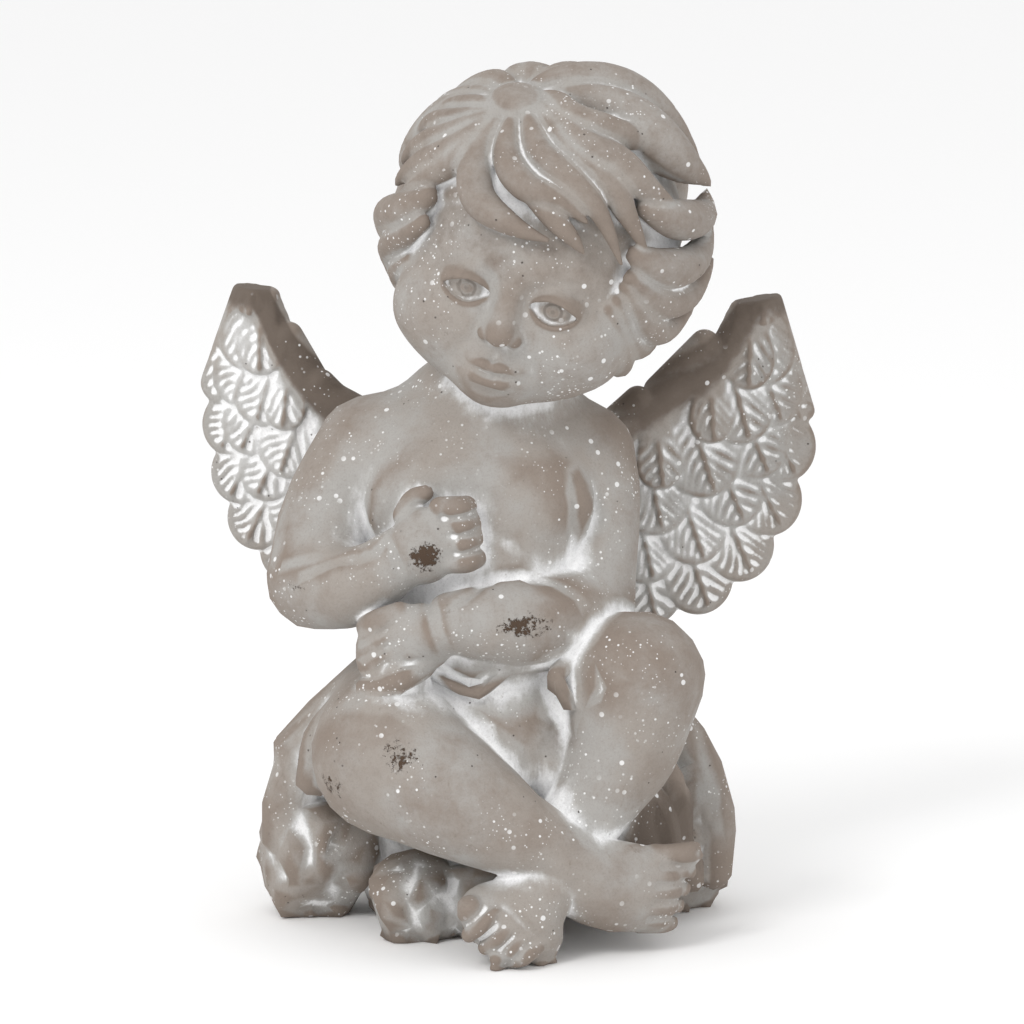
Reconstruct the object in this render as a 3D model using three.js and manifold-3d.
// A seated putto, cast in one piece of grey stone with its wings, its loin cloth and the rocks
// that it sits on.
// Millimetres, +Z up. The figure faces -Y, so its left side is towards +X.
// The origin is the middle of the flat underside.

import * as THREE from 'three';
import { LoftGeometry } from 'three/addons/geometries/LoftGeometry.js';
import { mergeVertices } from 'three/addons/utils/BufferGeometryUtils.js';
import Module from 'manifold-3d';

const wasm = await Module();
wasm.setup();

const STONE = { color: 0xa39a8f, roughness: 0.86, metalness: 0 };

// ---- Driving dimensions ----

// The rocks: each is [x, y, half width, half depth, height, lobes, turn].
const ROCKS = [
	[ - 6, 8, 72, 40, 78, 5, 0.4 ],
	[ - 74, 0, 27, 27, 60, 4, 0.9 ],
	[ - 34, - 32, 19, 22, 36, 3, 0.2 ],
	[ 62, 14, 32, 28, 76, 4, 2.1 ],
	[ - 8, - 34, 26, 20, 36, 3, 1.1 ],
	[ - 36, 36, 36, 22, 64, 4, 0.5 ],
	[ 24, 38, 38, 22, 68, 4, 1.6 ],
];

// The limbs are chains of round or oval sections: [x, y, z, half width, half depth].
const TORSO = [
	[ - 4, 14, 72, 46, 38 ],
	[ - 6, 4, 96, 44, 42 ],
	[ - 8, - 8, 124, 41, 44 ],
	[ - 9, - 8, 152, 44, 40 ],
	[ - 10, - 4, 178, 50, 36 ],
	[ - 8, 3, 197, 40, 27 ],
	[ - 5, 4, 209, 27, 24 ],
];
const NECK = [
	[ - 5, 3, 198, 28, 25 ],
	[ 1, - 2, 216, 25, 25 ],
	[ 6, - 4, 234, 27, 27 ],
];
const RIGHT_UPPER_ARM = [
	[ - 54, 4, 190, 21, 20 ],
	[ - 66, - 6, 172, 20, 20 ],
	[ - 73, - 16, 155, 19, 19 ],
	[ - 74, - 24, 142, 18, 18 ],
];
const RIGHT_FOREARM = [
	[ - 75, - 23, 141, 19, 19 ],
	[ - 62, - 38, 141, 17, 16 ],
	[ - 51, - 45, 147, 14, 13 ],
	[ - 40, - 48, 155, 12, 11 ],
];
const LEFT_UPPER_ARM = [
	[ 32, 4, 187, 20, 20 ],
	[ 36, - 5, 170, 18, 19 ],
	[ 36, - 13, 150, 17, 18 ],
	[ 34, - 20, 134, 17, 17 ],
];
const LEFT_FOREARM = [
	[ 34, - 21, 132, 17, 17 ],
	[ 17, - 42, 130, 17, 15 ],
	[ 0, - 52, 131, 15, 13 ],
	[ - 21, - 58, 132, 11, 10 ],
];
const RIGHT_THIGH = [
	[ - 30, 2, 86, 32, 30 ],
	[ - 38, - 24, 81, 34, 32 ],
	[ - 44, - 44, 76, 31, 31 ],
];
const RIGHT_SHIN = [
	[ - 44, - 46, 75, 31, 30 ],
	[ - 22, - 65, 64, 25, 24 ],
	[ 2, - 73, 51, 18, 17 ],
	[ 22, - 72, 41, 13, 12 ],
];
const LEFT_THIGH = [
	[ 20, 4, 88, 31, 30 ],
	[ 36, - 20, 97, 28, 28 ],
	[ 51, - 42, 106, 26, 24 ],
];
const LEFT_SHIN = [
	[ 52, - 45, 107, 26, 24 ],
	[ 46, - 48, 80, 23, 21 ],
	[ 33, - 56, 57, 17, 16 ],
	[ 22, - 64, 40, 13, 12 ],
];

// The feet: a chain for the instep, and a line along which the toes stand.
const RIGHT_FOOT = {
	instep: [ [ 22, - 70, 34, 18, 13 ], [ 40, - 67, 28, 18, 12 ], [ 60, - 60, 26, 18, 10 ] ],
	across: [ 0.1, 0.1, 1 ],
	toes: { big: [ 70, - 56, 37 ], little: [ 64, - 57, 11 ], way: [ 1, 0.35, - 0.05 ] },
};
const LEFT_FOOT = {
	instep: [ [ 22, - 66, 38, 15, 13 ], [ 11, - 80, 27, 19, 12 ], [ 2, - 88, 20, 18, 9 ] ],
	across: [ 0.8, 0.1, - 0.58 ],
	toes: { big: [ - 12, - 90, 26 ], little: [ 10, - 92, 9 ], way: [ - 0.45, - 0.55, - 0.6 ] },
};

// The hands: an oval for the back of the hand, fingers in a row and a thumb.
const RIGHT_HAND = {
	back: { at: [ - 30, - 49, 162 ], half: [ 14, 10, 14 ] },
	fingers: { first: [ - 20, - 55, 174 ], last: [ - 19, - 55, 153 ], reach: [ 11, 6, 0 ], radius: 4.4 },
	thumb: [ [ - 37, - 44, 171, 6, 6 ], [ - 32, - 43, 179, 5, 5 ], [ - 24, - 46, 181, 4, 4 ] ],
};
const LEFT_HAND = {
	back: { at: [ - 34, - 57, 124 ], half: [ 15, 9, 15 ] },
	fingers: { first: [ - 45, - 59, 132 ], last: [ - 43, - 60, 109 ], reach: [ - 11, 6, - 3 ], radius: 4.6 },
	thumb: [ [ - 30, - 62, 136, 5, 5 ], [ - 38, - 63, 138, 5, 5 ], [ - 45, - 60, 136, 4, 4 ] ],
};

// The head leans towards the figure's left shoulder and bows forward.
const HEAD = { at: [ 11.8, - 10, 270.8 ], bow: 12, turn: 8, lean: 15 };
// The ovals that the skull, the cheeks, the jaw and the chin fill: [x, y, z, half sizes], in the
// head's own axes, where 0 is midway between the ears.
const FACE = [
	[ 0, 8, 6, 51, 52, 52 ],
	[ 0, - 7, - 12, 46, 43, 42 ],
	[ 23, - 27, - 21, 21, 19, 19 ],
	[ - 23, - 27, - 21, 21, 19, 19 ],
	[ 0, - 30, - 39, 22, 18, 17 ],
];
const EYE = { out: 18, up: - 6, half: 10 };
// The hair fills this oval, in the head's own axes, and springs from a crown whorl.
const HAIR = { middle: [ 1, 8, 8 ], half: [ 59, 58, 60 ], whorl: [ - 21, - 18, 56 ] };
// The heights at which the hair ends in front and at the nape.
const HAIRLINE = { front: 34, nape: - 44 };

// Locks that fall from the whorl: [start angle, end angle, bow, reach, half width, stand-off of
// the tip] in degrees round the whorl, degrees from it, and millimetres.
const FRINGE = [
	[ - 34, 12, - 14, 62, 7, 4 ],
	[ - 8, 32, - 16, 66, 8, 4 ],
	[ 24, 42, - 8, 84, 8, 4 ],
	[ 46, 55, - 10, 85, 9, 4 ],
	[ 62, 79, - 14, 86, 11, 6 ],
	[ 86, 98, - 14, 64, 10, 5 ],
	[ 128, 110, 12, 82, 9, 7 ],
	[ - 58, - 54, 4, 50, 9, 3 ],
	[ - 84, - 84, 6, 56, 10, 6 ],
	[ - 112, - 108, 6, 52, 10, 7 ],
	[ - 144, - 132, 6, 46, 10, 6 ],
];
// Curls that stand off the hair: [angle round the head and height at the root, the same at the
// tip, stand-off of the tip, half width]. The angle is 0 in front and +90 on the left.
const CURLS = [
	[ 66, 38, 98, 28, 13, 10 ],
	[ 62, 20, 94, 12, 14, 10 ],
	[ 58, 2, 90, - 6, 13, 10 ],
	[ 60, - 14, 84, - 26, 9, 9 ],
	[ 64, - 26, 82, - 48, 6, 9 ],
	[ - 62, 30, - 96, 22, 10, 11 ],
	[ - 60, 8, - 94, - 6, 12, 14 ],
	[ - 66, - 16, - 90, - 30, 5, 10 ],
];
// Locks round the sides and the back: how many, how deep the furrows are and how far they turn.
const BACK_LOCKS = { count: 9, furrow: 4.5, turn: 60 };

// The wings: the leading edge from the shoulder blade to the top, and the trailing edge from
// below the shoulder blade to the same top.
const WINGS = [
	{
		lead: [
			[ 24, 26, 182 ],
			[ 46, 34, 195 ],
			[ 67, 39, 209 ],
			[ 85, 43, 224 ],
			[ 101, 46, 245 ],
		],
		trail: [
			[ 30, 30, 124 ],
			[ 58, 44, 113 ],
			[ 88, 49, 118 ],
			[ 116, 52, 146 ],
			[ 126, 54, 196 ],
			[ 113, 48, 246 ],
		],
	},
	{
		lead: [
			[ - 38, 26, 182 ],
			[ - 58, 33, 197 ],
			[ - 75, 38, 207 ],
			[ - 88, 43, 222 ],
			[ - 101, 46, 249 ],
		],
		trail: [
			[ - 44, 30, 136 ],
			[ - 72, 42, 128 ],
			[ - 100, 47, 134 ],
			[ - 116, 51, 160 ],
			[ - 121, 54, 200 ],
			[ - 112, 48, 250 ],
		],
	},
];
const WING_ARM = 8;
// One feather of a row, across: place, reach and thickness as parts of its own.
const ROUND_TIP = [ [ 0, 0.88, 0.55 ], [ 0.3, 1, 1 ], [ 0.7, 1, 0.9 ] ];
const LEAF_TIP = [ [ 0, 0.86, 0.5 ], [ 0.5, 1, 1 ] ];
// Rows of feathers, each a scalloped sheet: how many feathers, root and tip as parts of the way
// from the leading edge to the trailing edge, half thickness and height over the first row.
const FEATHER_ROWS = [
	{ count: 7, root: 0, tip: 1.04, half: 4.5, over: 0, scallop: ROUND_TIP },
	{ count: 5, root: 0.05, tip: 0.76, half: 4, over: 4.5, scallop: LEAF_TIP },
	{ count: 3, root: 0.08, tip: 0.48, half: 4, over: 8, scallop: LEAF_TIP },
];

// ---- Shapes ----

const V = ( x, y, z ) => new THREE.Vector3( x, y, z );

function solid( geometry ) {

	const bare = new THREE.BufferGeometry();
	bare.setAttribute( 'position', geometry.attributes.position );
	bare.setIndex( geometry.index );
	const merged = mergeVertices( bare, 1e-3 );
	return new wasm.Manifold( new wasm.Mesh( {
		numProp: 3,
		vertProperties: merged.attributes.position.array,
		triVerts: new Uint32Array( merged.index.array ),
	} ) );

}

function geometryOf( manifold ) {

	const { vertProperties, triVerts } = manifold.getMesh();
	const geometry = new THREE.BufferGeometry();
	geometry.setAttribute( 'position', new THREE.BufferAttribute( vertProperties, 3 ) );
	geometry.setIndex( new THREE.BufferAttribute( triVerts, 1 ) );
	return geometry;

}

// A smooth value between the entries of a list, at t from 0 to 1.
function along( values, t ) {

	const place = Math.min( t, 0.9999 ) * ( values.length - 1 );
	const i = Math.floor( place );
	const f = place - i;
	const ease = f * f * ( 3 - 2 * f );
	return values[ i ] * ( 1 - ease ) + values[ i + 1 ] * ease;

}

// One oval ring round a middle point, square to a direction, its width towards a side.
function ring( middle, direction, side, halfWidth, halfDepth, sides ) {

	const wide = side.clone().addScaledVector( direction, - side.dot( direction ) ).normalize();
	const deep = direction.clone().cross( wide );
	const points = [];
	for ( let i = 0; i < sides; i ++ ) {

		const angle = i / sides * Math.PI * 2;
		const point = middle.clone();
		point.addScaledVector( wide, Math.cos( angle ) * halfWidth );
		point.addScaledVector( deep, Math.sin( angle ) * halfDepth );
		points.push( point );

	}

	return points;

}

// A chain of oval sections along a smooth curve, rounded at both ends or only at one of them.
function limb( stations, { side = [ 1, 0, 0 ], sides = 8, steps = 3, round = 'both' } = {} ) {

	const curve = new THREE.CatmullRomCurve3( stations.map( ( s ) => V( s[ 0 ], s[ 1 ], s[ 2 ] ) ) );
	const widths = stations.map( ( s ) => s[ 3 ] );
	const depths = stations.map( ( s ) => s[ 4 ] );
	const towards = V( ...side );
	const full = 1 / Math.sqrt( Math.cos( Math.PI / sides ) );
	const rings = [];
	const add = ( t, past, shrink ) => {

		const direction = curve.getTangent( t );
		const depth = along( depths, t );
		const middle = curve.getPoint( t ).addScaledVector( direction, past * depth );
		const size = full * shrink;
		rings.push( ring( middle, direction, towards, along( widths, t ) * size, depth * size, sides ) );

	};

	if ( round !== 'end' ) add( 0, - 0.8, 0.6 );
	for ( let i = 0; i <= steps; i ++ ) add( i / steps, 0, 1 );
	if ( round !== 'start' ) add( 1, 0.8, 0.6 );
	return solid( new LoftGeometry( rings, { capStart: true, capEnd: true } ) );

}

// An oval body.
function oval( at, half, across = 8, down = 5 ) {

	const geometry = new THREE.SphereGeometry( 1, across, down );
	geometry.scale( ...half ).translate( ...at );
	return solid( geometry );

}

const joined = ( solids ) => solids.reduce( ( all, one ) => all.add( one ) );

// ---- Rocks ----

// A rock bulges above its foot, narrows to its top and has a few soft lobes round it.
function rock( [ x, y, halfWidth, halfDepth, height, lobes, turn ] ) {

	const profile = [ [ - 0.05, 0.7 ], [ 0.26, 1 ], [ 0.6, 0.94 ], [ 0.86, 0.7 ], [ 1, 0.36 ] ];
	const sides = 8;
	const rings = profile.map( ( [ up, out ] ) => {

		const points = [];
		for ( let i = 0; i < sides; i ++ ) {

			const angle = i / sides * Math.PI * 2;
			const lobe = 0.07 * Math.cos( lobes * angle + turn + up ) + 0.03 * Math.cos( 7 * angle - turn );
			const across = Math.cos( angle ) * halfWidth * out * ( 1 + lobe );
			const deep = Math.sin( angle ) * halfDepth * out * ( 1 + lobe );
			points.push( V( x + across, y + deep, up * height ) );

		}

		return points;

	} );
	return solid( new LoftGeometry( rings, { capStart: true, capEnd: true } ) );

}

// ---- Body ----

// A toe or a finger: a short round length from a root to a tip of its own radius.
function digit( root, tip, radius, tipRadius ) {

	const stations = [
		[ ...root.toArray(), radius, radius ],
		[ ...tip.toArray(), tipRadius, tipRadius ],
	];
	return limb( stations, { side: [ 0, 0, 1 ], sides: 5, steps: 1, round: 'end' } );

}

function toes( { big, little, way } ) {

	const direction = V( ...way ).normalize();
	const all = [];
	for ( let i = 0; i < 5; i ++ ) {

		const radius = i === 0 ? 6.2 : 5 - 0.4 * i;
		const place = V( ...big ).lerp( V( ...little ), i / 4 );
		const root = place.clone().addScaledVector( direction, - 7 );
		const tip = place.clone().addScaledVector( direction, 5 - 0.6 * i );
		all.push( digit( root, tip, radius, radius ) );

	}

	return all;

}

function foot( { instep, across, toes: row } ) {

	return [ limb( instep, { side: across, sides: 7, steps: 2, round: 'end' } ), ...toes( row ) ];

}

function hand( { back, fingers, thumb } ) {

	const all = [ oval( back.at, back.half, 7, 5 ) ];
	for ( let i = 0; i < 4; i ++ ) {

		const root = V( ...fingers.first ).lerp( V( ...fingers.last ), i / 3 );
		const tip = root.clone().add( V( ...fingers.reach ) );
		all.push( digit( root, tip, fingers.radius, 0.9 * fingers.radius ) );

	}

	all.push( limb( thumb, { side: [ 0, 0, 1 ], sides: 5, steps: 2, round: 'end' } ) );
	return all;

}

function body() {

	const upright = { side: [ 0, 0, 1 ] };
	return [
		limb( TORSO, { sides: 12, steps: 5, round: 'start' } ),
		limb( NECK, { sides: 10, steps: 1, round: 'start' } ),
		limb( RIGHT_UPPER_ARM, { round: 'start' } ),
		limb( RIGHT_FOREARM, { steps: 3, round: 'start' } ),
		limb( LEFT_UPPER_ARM, { round: 'start' } ),
		limb( LEFT_FOREARM, { ...upright, round: 'start' } ),
		limb( RIGHT_THIGH, { steps: 2, round: 'end' } ),
		limb( RIGHT_SHIN, { ...upright, sides: 9, round: 'start' } ),
		limb( LEFT_THIGH, { steps: 2, round: 'end' } ),
		limb( LEFT_SHIN, { sides: 9, round: 'start' } ),
		...foot( RIGHT_FOOT ),
		...foot( LEFT_FOOT ),
		...hand( RIGHT_HAND ),
		...hand( LEFT_HAND ),
	];

}

// ---- Loin cloth ----

function cloth() {

	const fold = { sides: 5, steps: 2 };
	return [
		oval( [ - 2, - 24, 96 ], [ 36, 26, 20 ] ),
		oval( [ 48, - 30, 36 ], [ 24, 20, 27 ] ),
		limb( [ [ - 2, - 40, 98, 26, 8 ], [ 0, - 52, 84, 16, 7 ], [ 3, - 58, 72, 7, 6 ] ], fold ),
		limb( [ [ 23, - 42, 112, 6, 6 ], [ 28, - 46, 105, 6, 5 ], [ 26, - 48, 99, 5, 4 ] ], fold ),
		limb( [ [ - 46, - 16, 104, 12, 12 ], [ - 67, - 12, 83, 12, 12 ], [ - 82, - 8, 71, 11, 11 ] ], fold ),
		limb( [ [ - 50, - 32, 98, 10, 10 ], [ - 70, - 28, 80, 9, 9 ], [ - 74, - 32, 60, 7, 7 ] ], fold ),
		limb( [ [ 54, 0, 84, 14, 9 ], [ 72, 4, 66, 12, 9 ], [ 84, 4, 40, 9, 9 ], [ 84, - 2, 20, 7, 8 ] ], fold ),
		limb( [ [ 58, - 18, 66, 8, 8 ], [ 70, - 20, 46, 8, 7 ], [ 74, - 14, 20, 7, 7 ] ], fold ),
	];

}

// ---- Head ----

const headFrame = new THREE.Matrix4()
	.makeTranslation( ...HEAD.at )
	.multiply( new THREE.Matrix4().makeRotationY( THREE.MathUtils.degToRad( HEAD.lean ) ) )
	.multiply( new THREE.Matrix4().makeRotationZ( THREE.MathUtils.degToRad( - HEAD.turn ) ) )
	.multiply( new THREE.Matrix4().makeRotationX( THREE.MathUtils.degToRad( HEAD.bow ) ) );

// How far a ray from the middle of the head runs to the skin of an oval, or 0 where it misses.
function reach( direction, [ x, y, z, a, b, c ] ) {

	const half = V( a, b, c );
	const d = direction.clone().divide( half );
	const o = V( - x, - y, - z ).divide( half );
	const root = d.dot( o ) ** 2 - d.lengthSq() * ( o.lengthSq() - 1 );
	return root > 0 ? ( Math.sqrt( root ) - d.dot( o ) ) / d.lengthSq() : 0;

}

// The head without its hair: one round body that fills all the ovals, melted together.
function skull() {

	const geometry = new THREE.SphereGeometry( 1, 16, 12 ).rotateX( Math.PI / 2 );
	const position = geometry.attributes.position;
	const melt = 16;
	for ( let i = 0; i < position.count; i ++ ) {

		const direction = V().fromBufferAttribute( position, i ).normalize();
		const sum = FACE.reduce( ( total, one ) => total + reach( direction, one ) ** melt, 0 );
		direction.multiplyScalar( sum ** ( 1 / melt ) );
		position.setXYZ( i, ...direction.toArray() );

	}

	return solid( geometry );

}

function face() {

	const nose = [ [ 0, - 46, 0, 4, 4 ], [ 0, - 52, - 11, 4, 5 ], [ 0, - 54, - 19, 7, 5 ] ];
	const upperLip = [ [ - 9, - 45, - 34, 2.5, 3 ], [ 0, - 50, - 33, 3.5, 4 ], [ 9, - 45, - 34, 2.5, 3 ] ];
	const lowerLip = [ [ - 7, - 45, - 39, 2.5, 3 ], [ 0, - 49, - 40, 3.5, 4 ], [ 7, - 45, - 39, 2.5, 3 ] ];
	const lip = { side: [ 0, 0, 1 ], sides: 5, steps: 2 };
	const parts = [
		skull(),
		limb( nose, { sides: 6, steps: 2, round: 'end' } ),
		limb( upperLip, lip ),
		limb( lowerLip, lip ),
	];
	for ( const side of [ - 1, 1 ] ) {

		const { out, up, half } = EYE;
		parts.push( oval( [ side * out, - 40, up ], [ half, 9, 6 ], 7, 5 ) );

	}

	return parts;

}

// ---- Hair ----

const whorl = V( ...HAIR.whorl ).normalize();
const whorlFront = V( 0, - 1, 0 ).addScaledVector( whorl, whorl.y ).normalize();
const whorlLeft = whorl.clone().cross( whorlFront );

// The direction at an angle round the whorl and an angle away from it.
function fromWhorl( round, away ) {

	const a = THREE.MathUtils.degToRad( round );
	const b = THREE.MathUtils.degToRad( away );
	const flat = whorlFront.clone().multiplyScalar( Math.cos( a ) ).addScaledVector( whorlLeft, Math.sin( a ) );
	return whorl.clone().multiplyScalar( Math.cos( b ) ).addScaledVector( flat, Math.sin( b ) );

}

// The direction at an angle round the head's upright axis and a height in the head.
function roundHead( round, height ) {

	const a = THREE.MathUtils.degToRad( round );
	const up = THREE.MathUtils.clamp( ( height - HAIR.middle[ 2 ] ) / HAIR.half[ 2 ], - 0.99, 0.99 );
	const out = Math.sqrt( 1 - up * up );
	return V( Math.sin( a ) * out, - Math.cos( a ) * out, up );

}

// A lock of hair: a chain of flat ovals on the hair's oval, thick in the middle and pointed at
// its tip. The way is a function of t that gives a direction, and rise a function that gives the
// height over the oval.
function lock( way, rise, halfWidth, steps = 5 ) {

	const middle = V( ...HAIR.middle );
	const half = V( ...HAIR.half );
	const place = ( t ) => way( t ).multiply( half.clone().addScalar( rise( t ) ) ).add( middle );
	const rings = [];
	for ( let i = 0; i <= steps; i ++ ) {

		const t = i / steps;
		const point = place( t );
		const before = place( Math.max( t - 0.02, 0 ) );
		const direction = place( Math.min( t + 0.02, 1 ) ).sub( before ).normalize();
		const out = point.clone().sub( middle ).normalize();
		const side = direction.clone().cross( out );
		const swell = 0.12 + 0.88 * Math.sin( Math.PI * Math.min( 0.14 + t * 0.84, 1 ) ) ** 0.7;
		rings.push( ring( point, direction, side, halfWidth * swell, 0.62 * halfWidth * swell, 4 ) );

	}

	return solid( new LoftGeometry( rings, { capStart: true, capEnd: true } ) );

}

// The hair behind the face: an oval cap whose furrows run down and round the head.
function cap() {

	const { count, furrow, turn } = BACK_LOCKS;
	const around = count * 3;
	const rings = [];
	for ( let j = 0; j <= 6; j ++ ) {

		const height = THREE.MathUtils.lerp( HAIRLINE.nape, HAIR.middle[ 2 ] + HAIR.half[ 2 ] * 0.97, j / 6 );
		const points = [];
		for ( let i = 0; i < around; i ++ ) {

			const angle = i / around * 360;
			const behind = 0.5 - 0.5 * Math.cos( THREE.MathUtils.degToRad( angle ) );
			const edge = THREE.MathUtils.lerp( HAIRLINE.front, HAIRLINE.nape, behind ** 0.8 );
			const shown = THREE.MathUtils.smoothstep( height, edge - 10, edge + 14 );
			const wave = Math.cos( THREE.MathUtils.degToRad( count * angle + turn * Math.sin( j * 1.9 ) ) );
			const lift = THREE.MathUtils.lerp( - 14, furrow * wave, shown );
			const point = roundHead( angle, height );
			points.push( point.multiply( V( ...HAIR.half ).addScalar( lift ) ).add( V( ...HAIR.middle ) ) );

		}

		rings.push( points );

	}

	return solid( new LoftGeometry( rings, { capStart: true, capEnd: true } ) );

}

function hair() {

	const locks = [ cap() ];
	for ( const [ start, end, bow, away, half, off ] of FRINGE ) {

		const round = ( t ) => start + ( end - start ) * t * t + bow * Math.sin( Math.PI * t ) * ( 1 - t );
		const way = ( t ) => fromWhorl( round( t ), 6 + ( away - 6 ) * t );
		locks.push( lock( way, ( t ) => 1 + off * t * t, half ) );

	}

	for ( const [ round, height, tipRound, tipHeight, off, half ] of CURLS ) {

		const way = ( t ) => {

			const angle = THREE.MathUtils.lerp( round, tipRound, t );
			return roundHead( angle, THREE.MathUtils.lerp( height, tipHeight, t ) );

		};

		locks.push( lock( way, ( t ) => off * t - 12 * ( 1 - t ) ** 2, half, 4 ) );

	}

	return locks;

}

function head() {

	const upright = geometryOf( joined( [ ...face(), ...hair() ] ) );
	return solid( upright.applyMatrix4( headFrame ) );

}

// ---- Wings ----

function wing( { lead, trail } ) {

	const front = new THREE.CatmullRomCurve3( lead.map( ( p ) => V( ...p ) ) );
	const back = new THREE.CatmullRomCurve3( trail.map( ( p ) => V( ...p ) ) );
	const rib = ( s, part ) => front.getPoint( s ).lerp( back.getPoint( s ), part );
	const outward = rib( 0.5, 1 ).sub( rib( 0.5, 0 ) ).cross( front.getTangent( 0.5 ) ).normalize();
	const leftSide = outward.y < 0;
	if ( ! leftSide ) outward.negate();

	// One row of feathers: thin sections from root to tip, side by side up the wing.
	const row = ( { count, root, tip, half, over, scallop } ) => {

		const sections = [];
		const section = ( s, reach, thick ) => {

			const end = THREE.MathUtils.lerp( root, tip, reach );
			const point = ( part, lift ) => rib( s, part ).addScaledVector( outward, lift );
			const deep = half * thick;
			const points = [
				point( root, 0 ),
				...( over ? [] : [ point( root + 0.1, - deep ) ] ),
				point( end - 0.1, over ? 0 : - deep ),
				point( end, over ),
				point( end - 0.1, over + deep ),
				point( root + 0.1, over + deep ),
			];
			sections.push( leftSide ? points.reverse() : points );

		};

		for ( let i = 0; i < count; i ++ ) {

			for ( const [ place, reach, thick ] of scallop ) section( ( i + place ) / count, reach, thick );

		}

		section( 1, 0.9, 0.6 );
		return solid( new LoftGeometry( sections, { capStart: true, capEnd: true } ) );

	};

	const thickness = ( i ) => WING_ARM - 0.5 * i;
	const arm = lead.map( ( place, i ) => [ ...place, thickness( i ), thickness( i ) ] );
	return [
		...FEATHER_ROWS.map( row ),
		limb( arm, { side: [ 0, 1, 0 ], sides: 6, steps: 4, round: 'end' } ),
	];

}

// ---- The casting ----

const everything = joined( [
	...ROCKS.map( rock ),
	...body(),
	...cloth(),
	head(),
	...WINGS.flatMap( wing ),
] );
const ground = solid( new THREE.BoxGeometry( 400, 400, 40 ).translate( 0, 0, - 20 ) );
const casting = everything.subtract( ground );

const statue = new THREE.Mesh( geometryOf( casting ), new THREE.MeshStandardMaterial( STONE ) );
statue.name = 'putto_statue';

const part = new THREE.Group();
part.add( statue );

export default part;
